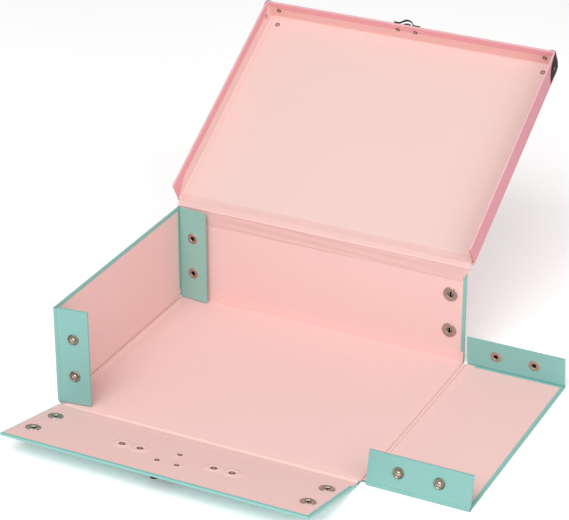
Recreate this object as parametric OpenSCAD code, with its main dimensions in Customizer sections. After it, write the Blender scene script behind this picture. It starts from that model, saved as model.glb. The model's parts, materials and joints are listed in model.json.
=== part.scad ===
// Fold-flat storage case: five wrapped-board panels joined by paper folds,
// four snap flaps and a hinged tray lid, shown part way through being opened out.
// Millimetres, +Z up, origin at the centre of the underside of the bottom panel.

/* [Bottom] */
// Width of the bottom panel, left to right
bottom_w = 264; // [220:1:320]
// Depth of the bottom panel, front to back
bottom_d = 204; // [170:1:260]

/* [Board] */
// Thickness of a board wrapped in its outer paper
board_t = 1.8; // [1.4:0.1:2.2]
// Thickness of the inner lining paper
lining_t = 0.2; // [0.1:0.05:0.4]
// Radius of the bead where the paper folds
fold_r = 0.3; // [0.2:0.05:0.4]

/* [Walls] */
// Length of a wall board from its fold edge to its free edge
wall_h = 85.5; // [76:0.1:100]
// Bare margin between the lining and a free edge
margin = 2.9; // [1:0.1:5]
// Tilt of the lowered front wall above the table, degrees
front_tilt = 12.9; // [12.9:0.1:24]

/* [Flaps] */
// Reach of a flap from the outer face of its wall
flap_w = 29; // [26:0.5:32]
// Inward lean of the left front flap, degrees
lean_lf = 7; // [7:0.5:14]
// Inward lean of the left rear flap, degrees
lean_lr = 6.7; // [6.6:0.1:14]
// Inward lean of the right front flap, degrees
lean_rf = 12; // [7:0.5:14]
// Inward lean of the right rear flap, degrees
lean_rr = 6.7; // [6.6:0.1:14]

/* [Snaps] */
// Distance of a snap from the outer face of the side wall
snap_in = 16; // [15:0.5:18]
// Height of the lower snap above the table with the wall up
snap_z1 = 28.2; // [22:0.1:34]
// Height of the upper snap above the table with the wall up
snap_z2 = 61.5; // [54:0.1:62]
// Outer diameter of a socket and of its cap
socket_d = 12.6; // [11:0.1:13]
// Diameter of the socket mouth
mouth_d = 5; // [4.9:0.05:5.4]
// Diameter of the stud head
head_d = 4.3; // [3.8:0.05:4.4]

/* [Lid] */
// Lean of the open lid behind the vertical, degrees
lid_lean = 59.3; // [40:0.1:70]
// Depth of the lid sides inside the tray
lid_depth = 18.7; // [17:0.1:19]
// Overall width of the lid
lid_w = 273.6; // [273.4:0.1:276]
// Inside length of the lid tray
lid_len = 207.6; // [207.5:0.1:210]
// Height of the lid side lining
lid_lining_h = 10.9; // [8:0.1:12]
// Reach of each leaf of a metal lid corner
corner_r = 20; // [17:0.5:20]

/* [Handle and latch] */
// Half distance between the two handle brackets
bracket_x = 39.85; // [36:0.05:44]
// Spacing of the two rivets of one handle bracket
bracket_pitch = 15.6; // [15:0.1:18]
// Drop of the handle grip below its pivot
grip_drop = 20; // [19:0.5:21]
// Sideways offset of the latch from the middle of the wall
latch_x = 1.3; // [0:0.1:3]

/* [Hidden] */
$fn = 48;
t = board_t + lining_t;
ex = 0.4;
ey = 0.6;
px = t + ex - fold_r;
py = t + ey - fold_r;
piv_x = bottom_w/2 + px;
piv_y = bottom_d/2 + py;
root = 2.1;
top = root + wall_h;
o = -fold_r;
f1 = o + board_t;
f2 = f1 + lining_t;
hw = bottom_w/2;
fold_y = 101.8 + (bottom_d - 204)/2;
flap_piv = fold_y - fold_r;
side_half = fold_y - t - ex;
flap_root = 2.9;
flap_s1 = 2.5;
flap_s2 = top - 0.2;
sx = piv_x + fold_r - snap_in;
ss = [snap_z1 - fold_r, snap_z2 - fold_r];
lid_piv_s = top + 2.0;
lid_piv_z = fold_r + lid_piv_s;
lid_root = 2.0;
lh = lid_w/2;
lin_u = lid_root + lid_len;
out_u = lin_u + t;
lid_edge = f2 + lid_depth;
riv_c = 10.8;
riv_n = o + 11;
catch_n = f2 + 12.1;
hs = 46;
ls1 = 59.2;
ls0 = 38.1;
lrx = 8.45;
strip_w = 5.5;

module at_front() translate([0, -piv_y, fold_r]) rotate([0, 0, 180]) rotate([front_tilt, 0, 0]) children();
module at_back() translate([0, piv_y, fold_r]) rotate([90, 0, 0]) children();
module at_left() translate([-piv_x, 0, fold_r]) rotate([0, 0, 90]) rotate([90, 0, 0]) children();
module at_right() translate([piv_x, 0, fold_r]) rotate([0, 0, -90]) children();
module at_lid() translate([0, piv_y, lid_piv_z]) rotate([90 - lid_lean, 0, 0]) children();
module at_flap(end, lean) translate([end*flap_piv, 0, 0]) rotate([0, 0, end > 0 ? 0 : 180]) rotate([0, -90 - lean, 0]) children();

module box(a, b) translate(a) cube([b[0]-a[0], b[1]-a[1], b[2]-a[2]]);
module hole(x, y, r) translate([x, y, -5]) cylinder(r = r, h = 12);

// holes for four snaps near the ends of a front or back wall
module snap_holes(r) for (x = [-1, 1], s = ss) hole(x*sx, s, r);

// one socket: rolled rim on the inner face, barrel through the wall, domed cap outside
module socket() {
  r = socket_d/2;
  rotate_extrude() polygon([[mouth_d/2, o], [mouth_d/2, f2 + 0.3], [r - 2.2, f2 + 0.3], [r - 1.7, f2 + 0.6], [r - 1.2, f2 + 0.7],
    [r - 0.6, f2 + 0.62], [r, f2 + 0.25], [r, f2], [3.1, f2], [3.1, o], [r, o], [r, o - 0.35], [r - 1.2, o - 0.95],
    [r - 3.2, o - 1.2], [0, o - 1.2], [0, o - 0.5], [mouth_d/2, o - 0.5]]);
}

// one stud: flange and round head on the outer face, barrel through, eyelet ring on the inner face
module stud() {
  h = head_d/2;
  rotate_extrude() polygon([[1.1, f2 + 0.1], [1.1, o - 1], [0, o - 1], [0, o - 1.7], [h*0.5, o - 1.7], [h*0.86, o - 1.55],
    [h, o - 1.25], [h*0.86, o - 0.9], [h*0.8, o - 0.7], [2.4, o - 0.5], [3.9, o - 0.5], [4.3, o - 0.65], [4.8, o - 0.65], [5.2, o - 0.35], [5.2, o],
    [2.3, o], [2.3, f2], [4.8, f2], [4.8, f2 + 0.2], [4.5, f2 + 0.5], [2.9, f2 + 0.5], [2.2, f2 + 0.3], [2.1, f2 + 0.1]]);
}

// rivet along +Z: pan head below z = -head, shank, rolled tubular tail above z = len
module rivet(len, seat = 0, r = 1.2) {
  translate([0, 0, -seat]) rotate_extrude() polygon([[0, -0.8], [1.2, -0.75], [2, -0.3], [2.1, 0], [r, 0], [r, len + seat],
    [2, len + seat], [2.05, len + seat + 0.15], [1.7, len + seat + 0.45], [1.1, len + seat + 0.45], [0.8, len + seat + 0.2], [0.7, len + seat - 1], [0, len + seat - 1]]);
}

module wall_board(h) box([-h, root, o], [h, top, f1]);

// ---- base ----
module bottom_board() color([0.55, 0.78, 0.74]) box([-hw, -bottom_d/2, 0], [hw, bottom_d/2, board_t]);
module bottom_lining() color([0.95, 0.79, 0.76]) box([-hw, -bottom_d/2, board_t], [hw, bottom_d/2, t]);

module fold(half, reach) {
  box([-half, -reach, -fold_r/2], [half, 0, fold_r/2]);
  rotate([0, 90, 0]) cylinder(r = fold_r, h = 2*half, center = true);
}
module left_hinge_fold() color([0.93, 0.74, 0.71]) translate([-piv_x, 0, fold_r]) rotate([0, 0, 90]) fold(side_half - 0.4, px);
module right_hinge_fold() color([0.93, 0.74, 0.71]) at_right() fold(side_half - 0.4, px);
module front_hinge_fold() color([0.93, 0.74, 0.71]) translate([0, -piv_y, fold_r]) rotate([0, 0, 180]) fold(hw - 0.4, py);
module back_hinge_fold() color([0.93, 0.74, 0.71]) translate([0, piv_y, fold_r]) fold(hw - 0.4, py);

// ---- side walls ----
module side_board() {
  wall_board(side_half);
}
module side_lining() box([-side_half + 1.4, root + strip_w, f1], [side_half - 1.4, top - margin, f2]);
module side_strip() box([-side_half + 0.4, root, f1], [side_half - 0.4, root + strip_w, f2]);
module flap_fold(end) {
  translate([end*flap_piv, 0, 0]) {
    box([end > 0 ? -(flap_piv - side_half) : 0, flap_s1 + 0.3, -fold_r/2], [end > 0 ? 0 : flap_piv - side_half, flap_s2 - 0.3, fold_r/2]);
    translate([0, flap_s1 + 0.3, 0]) rotate([-90, 0, 0]) cylinder(r = fold_r, h = flap_s2 - flap_s1 - 0.6);
  }
}
module flap_board(end) difference() {
  a = end > 0 ? flap_s1 : -flap_s2;
  b = end > 0 ? flap_s2 : -flap_s1;
  union() {
    box([flap_root, a, o], [flap_w - fold_r, b, f2]);
    box([0.5, a + 0.3, o + 0.15], [flap_root, b - 0.3, o + 0.35]);
  }
  for (s = ss) hole(snap_in - fold_r, end*s, 2.35);
}
module flap_studs(end) for (s = ss) translate([snap_in - fold_r, end*s, 0]) stud();

module left_wall_board() color([0.55, 0.78, 0.74]) at_left() side_board();
module left_wall_lining() color([0.94, 0.71, 0.68]) at_left() side_lining();
module left_hinge_strip() color([0.94, 0.72, 0.69]) at_left() side_strip();
module left_flap_folds() color([0.45, 0.68, 0.64]) at_left() { flap_fold(-1); flap_fold(1); }
module left_front_flap() color([0.57, 0.79, 0.75]) at_left() at_flap(-1, lean_lf) flap_board(-1);
module left_front_studs() color([0.78, 0.77, 0.73]) at_left() at_flap(-1, lean_lf) flap_studs(-1);
module left_rear_flap() color([0.57, 0.79, 0.75]) at_left() at_flap(1, lean_lr) flap_board(1);
module left_rear_studs() color([0.78, 0.77, 0.73]) at_left() at_flap(1, lean_lr) flap_studs(1);

module right_wall_board() color([0.55, 0.78, 0.74]) at_right() side_board();
module right_wall_lining() color([0.93, 0.79, 0.77]) at_right() side_lining();
module right_hinge_strip() color([0.93, 0.77, 0.75]) at_right() side_strip();
module right_flap_folds() color([0.45, 0.68, 0.64]) at_right() { flap_fold(-1); flap_fold(1); }
module right_front_flap() color([0.57, 0.79, 0.75]) at_right() at_flap(1, lean_rf) flap_board(1);
module right_front_studs() color([0.78, 0.77, 0.73]) at_right() at_flap(1, lean_rf) flap_studs(1);
module right_rear_flap() color([0.57, 0.79, 0.75]) at_right() at_flap(-1, lean_rr) flap_board(-1);
module right_rear_studs() color([0.78, 0.77, 0.73]) at_right() at_flap(-1, lean_rr) flap_studs(-1);

// ---- back wall ----
lid_strip_s = top - 9.5;
module back_wall_board() color([0.55, 0.78, 0.74]) at_back() difference() { wall_board(hw); snap_holes(3.15); }
module back_wall_lining() color([0.97, 0.78, 0.75]) at_back() difference() {
  box([-hw + margin, root + strip_w, f1], [hw - margin, lid_strip_s, f2]);
  snap_holes(3.15);
}
module back_hinge_strip() color([0.97, 0.77, 0.74]) at_back() box([-hw + 0.4, root, f1], [hw - 0.4, root + strip_w, f2]);
module back_wall_sockets() color([0.78, 0.77, 0.73]) at_back() for (x = [-1, 1], s = ss) translate([x*sx, s, 0]) socket();
module lid_hinge_fold() color([0.90, 0.66, 0.66]) at_back() {
  box([-hw + 0.4, top, -fold_r/2], [hw - 0.4, lid_piv_s, fold_r/2]);
  translate([0, lid_piv_s, 0]) rotate([0, 90, 0]) cylinder(r = fold_r, h = 2*hw - 0.8, center = true);
}
module lid_hinge_strip_wall() color([0.97, 0.78, 0.75]) at_back() translate([0, 0, f1])
  linear_extrude(height = 0.4) polygon([[-hw + margin, lid_strip_s], [hw - margin, lid_strip_s], [hw - 0.4, lid_strip_s + 4.5], [hw - 0.4, top], [-hw + 0.4, top], [-hw + 0.4, lid_strip_s + 4.5]]);

// ---- front wall ----
module front_holes() {
  snap_holes(3.15);
  for (x = [-1, 1], k = [-1, 1]) hole(x*bracket_x + k*bracket_pitch/2, hs, 1.25);
  for (k = [-1, 1]) hole(latch_x + k*lrx, ls1, 1.25);
  hole(latch_x, ls0, 1.25);
}
module front_wall_board() color([0.55, 0.78, 0.74]) at_front() difference() { wall_board(hw); front_holes(); }
module front_wall_lining() color([0.92, 0.75, 0.73]) at_front() difference() {
  box([-hw + margin, root + strip_w, f1], [hw - margin/3, top - margin, f2]);
  front_holes();
}
module front_hinge_strip() color([0.92, 0.76, 0.74]) at_front() box([-hw + 0.4, root, f1], [hw - 0.4, root + strip_w, f2]);
module front_wall_sockets() color([0.78, 0.77, 0.73]) at_front() for (x = [-1, 1], s = ss) translate([x*sx, s, 0]) socket();

module handle_brackets() color([0.23, 0.19, 0.15]) at_front() for (x = [-1, 1]) translate([x*bracket_x, hs, o]) difference() {
  union() {
    box([-bracket_pitch/2, -4.3, -0.9], [bracket_pitch/2, 4.3, 0]);
    for (k = [-1, 1]) translate([k*bracket_pitch/2, 0, -0.9]) cylinder(r = 4.3, h = 0.9);
    translate([0, 0, -ring_n]) rotate([0, 90, 0]) cylinder(r = 2.5, h = 6.5, center = true);
    box([-3.25, -2.5, -ring_n], [3.25, 2.5, -0.5]);
  }
  translate([0, 0, -ring_n]) rotate([0, 90, 0]) cylinder(r = 1.6, h = 9, center = true);
  for (k = [-1, 1]) translate([k*bracket_pitch/2, 0, -3]) cylinder(r = 1.25, h = 4);
}
module handle_rivets() color([0.30, 0.25, 0.20]) at_front() for (x = [-1, 1], k = [-1, 1])
  translate([x*bracket_x + k*bracket_pitch/2, hs, o]) rivet(t, 0.9);

ring_r = 1.2;
ring_n = 2.97;
ring_h = 4.9;
ring_drop = 8.5;
module ring_wire(r) {
  for (y = [0, -ring_drop]) translate([0, y, 0]) rotate([0, 90, 0]) cylinder(r = r, h = 2*ring_h, center = true);
  for (x = [-ring_h, ring_h]) {
    translate([x, 0, 0]) rotate([90, 0, 0]) cylinder(r = r, h = ring_drop);
    for (y = [0, -ring_drop]) translate([x, y, 0]) sphere(r = r);
  }
}
module at_rings() for (x = [-1, 1]) translate([x*bracket_x, hs, o - ring_n]) children();
module handle_rings() color([0.23, 0.19, 0.15]) at_front() at_rings() ring_wire(ring_r);
sag = grip_drop - ring_drop;
grip_R = (bracket_x*bracket_x + sag*sag)/(2*sag);
grip_a = asin(bracket_x/grip_R) + 2.6;
module handle_grip() color([0.16, 0.12, 0.10]) at_front() difference() {
  translate([0, hs - grip_drop + grip_R, o - ring_n]) rotate([0, 0, -90 - grip_a]) rotate_extrude(angle = 2*grip_a, $fn = 96)
    translate([grip_R, 0]) { square([6, 4], center = true); for (k = [-1, 1]) translate([k*3, 0]) circle(r = 2); }
  at_rings() ring_wire(ring_r + 0.15);
}

// latch base: shield plate held by three rivets, with a guide for the sliding bolt
module latch_plate() color([0.23, 0.19, 0.15]) at_front() translate([latch_x, 0, o]) difference() {
  r = 4.4;
  dx = lrx; dy = ls1 - ls0; l = sqrt(dx*dx + dy*dy);
  nx = dy/l*r; ny = dx/l*r;
  union() {
    translate([0, 0, -0.8]) linear_extrude(height = 0.8) polygon([[-lrx, ls1 + r], [lrx, ls1 + r], [lrx, ls1], [lrx + nx, ls1 - ny], [nx, ls0 - ny], [0, ls0], [-nx, ls0 - ny], [-lrx - nx, ls1 - ny], [-lrx, ls1]]);
    for (k = [-1, 1]) translate([k*lrx, ls1, -0.8]) cylinder(r = r, h = 0.8);
    translate([0, ls0, -0.8]) cylinder(r = r, h = 0.8);
    box([-4.4, 50, -6.9], [4.4, 60, -0.4]);
  }
  box([-3.1, 49, -5.9], [3.1, 61, -0.8]);
  for (k = [-1, 1]) translate([k*lrx, ls1, -3]) cylinder(r = 1.25, h = 4);
  translate([0, ls0, -3]) cylinder(r = 1.25, h = 4);
}
module latch_rivets() color([0.30, 0.25, 0.20]) at_front() {
  for (k = [-1, 1]) translate([latch_x + k*lrx, ls1, o]) rivet(t, 0.8);
  translate([latch_x, ls0, o]) rivet(t, 0.8);
}
module latch_bolt() color([0.20, 0.17, 0.14]) at_front() translate([latch_x, 0, o]) {
  box([-2.9, 44, -5.7], [2.9, 64, -1.9]);
  box([-2.9, 64, -5.1], [2.9, 77.6, -3.5]);
  translate([0, 77.6, -5.1]) cylinder(r = 2.9, h = 1.6);
  translate([0, 46.2, -7.8]) cylinder(r = 3.2, h = 2.4);
}

// ---- lid ----
module lid_panel() color([0.82, 0.56, 0.58]) at_lid() difference() {
  box([-lh, lid_root, o], [lh, out_u, f1]);
  for (x = [-1, 1]) hole(x*(lh - riv_c), out_u - riv_c, 1.25);
}
module side_hole(rc = 1.25) translate([0, out_u - riv_c, riv_n]) rotate([0, 90, 0]) cylinder(r = rc, h = 300, center = true);
module front_side_holes(rc = 1.25) {
  for (x = [-1, 1]) translate([x*(lh - riv_c), out_u, riv_n]) rotate([90, 0, 0]) cylinder(r = 1.25, h = 20, center = true);
  for (k = [-1, 1]) translate([-latch_x + k*8.3, out_u, catch_n]) rotate([90, 0, 0]) cylinder(r = rc, h = 20, center = true);
}
module lid_front_side() color([0.86, 0.58, 0.60]) at_lid() difference() {
  box([-lh, out_u - board_t, f1], [lh, out_u, lid_edge]);
  front_side_holes();
}
module lid_left_side() color([0.86, 0.58, 0.60]) at_lid() difference() {
  box([-lh, lid_root + 0.8, f1], [-lh + board_t, out_u - board_t, lid_edge]);
  side_hole();
}
module lid_right_side() color([0.80, 0.55, 0.58]) at_lid() difference() {
  box([lh - board_t, lid_root + 0.8, f1], [lh, out_u - board_t, lid_edge]);
  side_hole();
}
module lid_panel_lining() color([0.96, 0.82, 0.79]) at_lid() difference() {
  box([-lh + t, lid_root + 0.4, f1], [lh - t, lin_u, f2]);
  for (x = [-1, 1]) hole(x*(lh - riv_c), out_u - riv_c, 1.25);
}
module lid_side_linings() color([0.95, 0.72, 0.68]) at_lid() difference() {
  union() {
    box([-lh + t, lin_u, f1], [lh - t, lin_u + lining_t, f2 + lid_lining_h]);
    for (k = [-1, 1]) box([k > 0 ? lh - t : -lh + board_t, lid_root + 2, f1], [k > 0 ? lh - board_t : -lh + t, lin_u, f2 + lid_lining_h]);
  }
  front_side_holes(2.2);
  side_hole(2.2);
}
// one leaf of a metal corner: a quarter disc lying in x,y with its centre at the corner
module corner_leaf() linear_extrude(height = 0.7) intersection() {
  circle(r = corner_r, $fn = 96);
  translate([-corner_r - 1, -corner_r - 1]) square([corner_r + 1.7, corner_r + 1.7]);
}
module lid_corners() color([0.17, 0.13, 0.10]) at_lid() for (k = [0, 1]) mirror([k, 0, 0]) difference() {
  union() {
    translate([lh, out_u, o - 0.7]) corner_leaf();
    translate([lh, out_u, o]) rotate([90, 0, 0]) translate([0, 0, -0.7]) mirror([0, 1, 0]) corner_leaf();
    translate([lh, out_u, o]) rotate([0, 90, 0]) corner_leaf();
  }
  box([lh - 40, out_u - 40, lid_edge - 0.4], [lh + 5, out_u + 5, lid_edge + 20]);
  translate([lh - riv_c, out_u - riv_c, -4]) cylinder(r = 1.25, h = 8);
  translate([0, out_u - riv_c, riv_n]) rotate([0, 90, 0]) cylinder(r = 1.25, h = 200);
  translate([lh - riv_c, out_u, riv_n]) rotate([90, 0, 0]) cylinder(r = 1.25, h = 20, center = true);
}
module lid_corner_rivets() color([0.30, 0.25, 0.20]) at_lid() for (k = [-1, 1]) {
  translate([k*(lh - riv_c), out_u - riv_c, o]) rivet(t, 0.7);
  translate([k*(lh - riv_c), out_u, riv_n]) rotate([90, 0, 0]) rivet(t, 0.7);
  translate([k*lh, out_u - riv_c, riv_n]) rotate([0, -k*90, 0]) rivet(board_t, 0.7);
}
module lid_catch() color([0.23, 0.19, 0.15]) at_lid() difference() {
  union() {
    box([-latch_x - 8.3, out_u, 9.8], [-latch_x + 8.3, out_u + 0.7, lid_edge - 0.5]);
    for (k = [-1, 1]) intersection() {
      translate([-latch_x + k*8.3, out_u, catch_n + 0.6]) rotate([-90, 0, 0]) cylinder(r = 4.6, h = 0.7);
      box([-30, out_u, 9.8], [30, out_u + 1, lid_edge - 0.5]);
    }
    translate([-latch_x, out_u, 15.7]) linear_extrude(height = 4) difference() {
      union() { translate([-4.65, 0]) square([9.3, 1]); translate([0, 1]) circle(r = 4.65); }
      translate([-3.75, 0]) square([7.5, 1]);
      translate([0, 1]) circle(r = 3.75);
      translate([-6, -6]) square([12, 6]);
    }
  }
  for (k = [-1, 1]) translate([-latch_x + k*8.3, out_u, catch_n]) rotate([90, 0, 0]) cylinder(r = 1.25, h = 8, center = true);
}
module lid_catch_rivets() color([0.30, 0.25, 0.20]) at_lid() for (k = [-1, 1])
  translate([-latch_x + k*8.3, out_u, catch_n]) rotate([90, 0, 0]) rivet(board_t, 0.7);
module lid_hinge_strip() color([0.97, 0.80, 0.77]) at_lid() box([-lh + t + 0.4, lid_root + 0.4, f2], [lh - t - 0.4, lid_root + 8.5, f2 + 0.2]);

bottom_board();
bottom_lining();
left_hinge_fold();
right_hinge_fold();
front_hinge_fold();
back_hinge_fold();
left_wall_board();
left_wall_lining();
left_hinge_strip();
left_flap_folds();
left_front_flap();
left_front_studs();
left_rear_flap();
left_rear_studs();
right_wall_board();
right_wall_lining();
right_hinge_strip();
right_flap_folds();
right_front_flap();
right_front_studs();
right_rear_flap();
right_rear_studs();
back_wall_board();
back_wall_lining();
back_hinge_strip();
back_wall_sockets();
lid_hinge_fold();
lid_hinge_strip_wall();
front_wall_board();
front_wall_lining();
front_hinge_strip();
front_wall_sockets();
handle_brackets();
handle_rivets();
handle_rings();
handle_grip();
latch_plate();
latch_rivets();
latch_bolt();
lid_panel();
lid_front_side();
lid_left_side();
lid_right_side();
lid_panel_lining();
lid_side_linings();
lid_corners();
lid_corner_rivets();
lid_catch();
lid_catch_rivets();
lid_hinge_strip();
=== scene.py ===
import bpy, bmesh, math, json
from mathutils import Matrix, Vector


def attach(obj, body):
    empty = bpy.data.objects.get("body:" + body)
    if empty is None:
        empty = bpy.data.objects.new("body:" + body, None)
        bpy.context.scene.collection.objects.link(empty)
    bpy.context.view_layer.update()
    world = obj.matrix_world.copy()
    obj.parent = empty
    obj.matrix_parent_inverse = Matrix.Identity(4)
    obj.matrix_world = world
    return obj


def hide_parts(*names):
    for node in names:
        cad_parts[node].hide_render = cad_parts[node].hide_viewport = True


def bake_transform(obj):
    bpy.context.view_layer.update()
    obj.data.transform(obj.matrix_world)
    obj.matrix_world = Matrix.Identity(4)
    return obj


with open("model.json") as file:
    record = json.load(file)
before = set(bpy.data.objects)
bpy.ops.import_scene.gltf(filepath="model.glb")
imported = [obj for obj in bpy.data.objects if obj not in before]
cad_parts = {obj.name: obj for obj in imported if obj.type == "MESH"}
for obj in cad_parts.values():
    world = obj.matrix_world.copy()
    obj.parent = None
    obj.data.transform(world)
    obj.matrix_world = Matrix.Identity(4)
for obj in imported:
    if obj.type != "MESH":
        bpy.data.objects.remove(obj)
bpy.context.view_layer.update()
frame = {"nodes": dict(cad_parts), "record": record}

# ---------------------------------------------------------------- dimensions (mm), as in the CAD source
BW, BD, BT, LT, FR_ = 264.0, 204.0, 1.8, 0.2, 0.3
T = BT + LT
EX, EY = 0.4, 0.6
PX, PY = T + EX - FR_, T + EY - FR_
PIVX, PIVY = BW / 2 + PX, BD / 2 + PY
ROOT = 2.1
WALL = 85.5
TOP = ROOT + WALL
O = -FR_
F1, F2 = O + BT, O + BT + LT
HW = BW / 2
TILT = 12.9
FOLDY = 101.8
FPIV = FOLDY - FR_
SIDE = FOLDY - T - EX
FROOT, FS1, FS2, FLAPW = 2.9, 2.5, TOP - 0.2, 29.0
LEAN = {"lf": 7.0, "lr": 6.7, "rf": 12.0, "rr": 6.7}
SNAPIN = 16.0
SX = PIVX + FR_ - SNAPIN
SS = (28.2 - FR_, 61.5 - FR_)
LIDS = TOP + 2.0
LIDZ = FR_ + LIDS
LIDROOT = 2.0
LIDW, LIDLEN, LIDD, LIDLEAN = 273.6, 207.6, 18.7, 59.3
LH = LIDW / 2
LINU = LIDROOT + LIDLEN
OUTU = LINU + T
LEDGE = F2 + LIDD
LLIN = 10.9
RIVC = 10.8
RIVN = O + 11
CATCHN = F2 + 12.1
HS, LS1, LS0, LRX, LATX = 46.0, 59.2, 38.1, 8.45, 1.3
BRX, BRP, RINGN, RINGDROP, RINGR, RINGH = 39.85, 15.6, 2.97, 8.5, 1.2, 4.9
MM = 0.001


def tr(x, y, z):
    return Matrix.Translation((x, y, z))


def rx(d):
    return Matrix.Rotation(math.radians(d), 4, "X")


def ry(d):
    return Matrix.Rotation(math.radians(d), 4, "Y")


def rz(d):
    return Matrix.Rotation(math.radians(d), 4, "Z")


WORLD = Matrix.Identity(4)
AT_FRONT = tr(0, -PIVY, FR_) @ rz(180) @ rx(TILT)
AT_BACK = tr(0, PIVY, FR_) @ rx(90)
AT_LEFT = tr(-PIVX, 0, FR_) @ rz(90) @ rx(90)
AT_RIGHT = tr(PIVX, 0, FR_) @ rz(-90)
AT_LID = tr(0, PIVY, LIDZ) @ rx(90 - LIDLEAN)
E_RIGHT = tr(HW, 0, 0) @ rz(-90)          # local x along the edge, y outward, z up, from the bottom panel's edge
E_LEFT = tr(-HW, 0, 0) @ rz(90)
E_FRONT = tr(0, -BD / 2, 0) @ rz(180)
E_BACK = tr(0, BD / 2, 0)


def at_flap(side, end, lean):
    return side @ tr(end * FPIV, 0, 0) @ rz(0 if end > 0 else 180) @ ry(-90 - lean)


# ---------------------------------------------------------------- node helpers
def srgb(r, g, b):
    def f(c):
        c /= 255.0
        return c / 12.92 if c <= 0.04045 else ((c + 0.055) / 1.055) ** 2.4
    return (f(r), f(g), f(b), 1.0)


class N:
    def __init__(self, name):
        self.m = bpy.data.materials.new(name)
        self.m.use_nodes = True
        self.t = self.m.node_tree
        self.t.nodes.clear()
        self.out = self.t.nodes.new("ShaderNodeOutputMaterial")
        self.b = self.t.nodes.new("ShaderNodeBsdfPrincipled")
        self.t.links.new(self.b.outputs[0], self.out.inputs[0])
        self.co = self.t.nodes.new("ShaderNodeTexCoord").outputs["Object"]

    def link(self, a, b):
        self.t.links.new(a, b)

    def set(self, **kw):
        names = {"rough": "Roughness", "metal": "Metallic", "spec": "Specular IOR Level", "sheen": "Sheen Weight", "sheen_rough": "Sheen Roughness",
                 "coat": "Coat Weight", "coat_rough": "Coat Roughness", "ior": "IOR"}
        for k, v in kw.items():
            self.b.inputs[names[k]].default_value = v

    def mapping(self, scale=(1, 1, 1), rot=(0, 0, 0)):
        n = self.t.nodes.new("ShaderNodeMapping")
        n.inputs["Scale"].default_value = scale
        n.inputs["Rotation"].default_value = rot
        self.link(self.co, n.inputs["Vector"])
        return n.outputs[0]

    def noise(self, scale, detail=4.0, rough=0.55, vec=None, dist=0.0):
        n = self.t.nodes.new("ShaderNodeTexNoise")
        n.inputs["Scale"].default_value = scale
        n.inputs["Detail"].default_value = detail
        n.inputs["Roughness"].default_value = rough
        n.inputs["Distortion"].default_value = dist
        self.link(vec if vec is not None else self.co, n.inputs["Vector"])
        return n.outputs["Fac"]

    def ramp(self, fac, stops):
        n = self.t.nodes.new("ShaderNodeValToRGB")
        cr = n.color_ramp
        while len(cr.elements) < len(stops):
            cr.elements.new(0.5)
        for e, (p, c) in zip(cr.elements, stops):
            e.position = p
            e.color = c if len(c) == 4 else (*c, 1.0)
        self.link(fac, n.inputs[0])
        return n.outputs[0]

    def range(self, fac, a, b, c, d):
        n = self.t.nodes.new("ShaderNodeMapRange")
        for i, v in zip(("From Min", "From Max", "To Min", "To Max"), (a, b, c, d)):
            n.inputs[i].default_value = v
        self.link(fac, n.inputs["Value"])
        return n.outputs[0]

    def math(self, op, a, b):
        n = self.t.nodes.new("ShaderNodeMath")
        n.operation = op
        for i, v in enumerate((a, b)):
            if isinstance(v, (int, float)):
                n.inputs[i].default_value = v
            else:
                self.link(v, n.inputs[i])
        return n.outputs[0]

    def mix(self, fac, a, b, mode="MIX"):
        n = self.t.nodes.new("ShaderNodeMix")
        n.data_type = "RGBA"
        n.blend_type = mode
        for i, v in ((0, fac), (6, a), (7, b)):
            if isinstance(v, (int, float)):
                n.inputs[i].default_value = v
            elif isinstance(v, tuple):
                n.inputs[i].default_value = v
            else:
                self.link(v, n.inputs[i])
        return n.outputs[2]

    def bump(self, height, strength, dist, prev=None):
        n = self.t.nodes.new("ShaderNodeBump")
        n.inputs["Strength"].default_value = strength
        n.inputs["Distance"].default_value = dist
        self.link(height, n.inputs["Height"])
        if prev is not None:
            self.link(prev, n.inputs["Normal"])
        return n.outputs[0]

    def finish(self, color=None, rough=None, normal=None):
        if color is not None:
            self.link(color, self.b.inputs["Base Color"])
        if rough is not None:
            self.link(rough, self.b.inputs["Roughness"])
        if normal is not None:
            self.link(normal, self.b.inputs["Normal"])
        return self.m


def dim(c, k):
    return (c[0] * k, c[1] * k, c[2] * k, 1.0)


def paper(name, c, var=0.03, rough=0.62, fibre=1.0, spec=0.35):
    """Glued covering paper: faint cloudy tint, short fibres and a fine tooth."""
    n = N(name)
    cloud = n.noise(14, 3, 0.5)
    mottle = n.noise(260, 4, 0.6)
    fine = n.noise(1500, 3, 0.6)
    fib = n.noise(420, 3, 0.65, n.mapping((1, 7, 1)))
    fib2 = n.noise(420, 3, 0.65, n.mapping((7, 1, 3)))
    col = n.ramp(cloud, [(0.3, dim(c, 1 - var * 0.6)), (0.7, dim(c, 1 + var * 0.4))])
    col = n.mix(n.range(mottle, 0.35, 0.65, 0.0, 0.30), col, dim(c, 1 - var))
    col = n.mix(n.range(n.math("MULTIPLY", fib, fib2), 0.2, 0.42, 0.0, 0.25), col, dim(c, 1 + var * 1.2))
    ro = n.range(mottle, 0.3, 0.7, rough - 0.05, rough + 0.06)
    b = n.bump(fine, 0.14 * fibre, 0.00010)
    b = n.bump(fib, 0.10 * fibre, 0.00012, b)
    b = n.bump(cloud, 0.10, 0.0006, b)
    n.set(spec=spec)
    return n.finish(col, ro, b)


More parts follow.
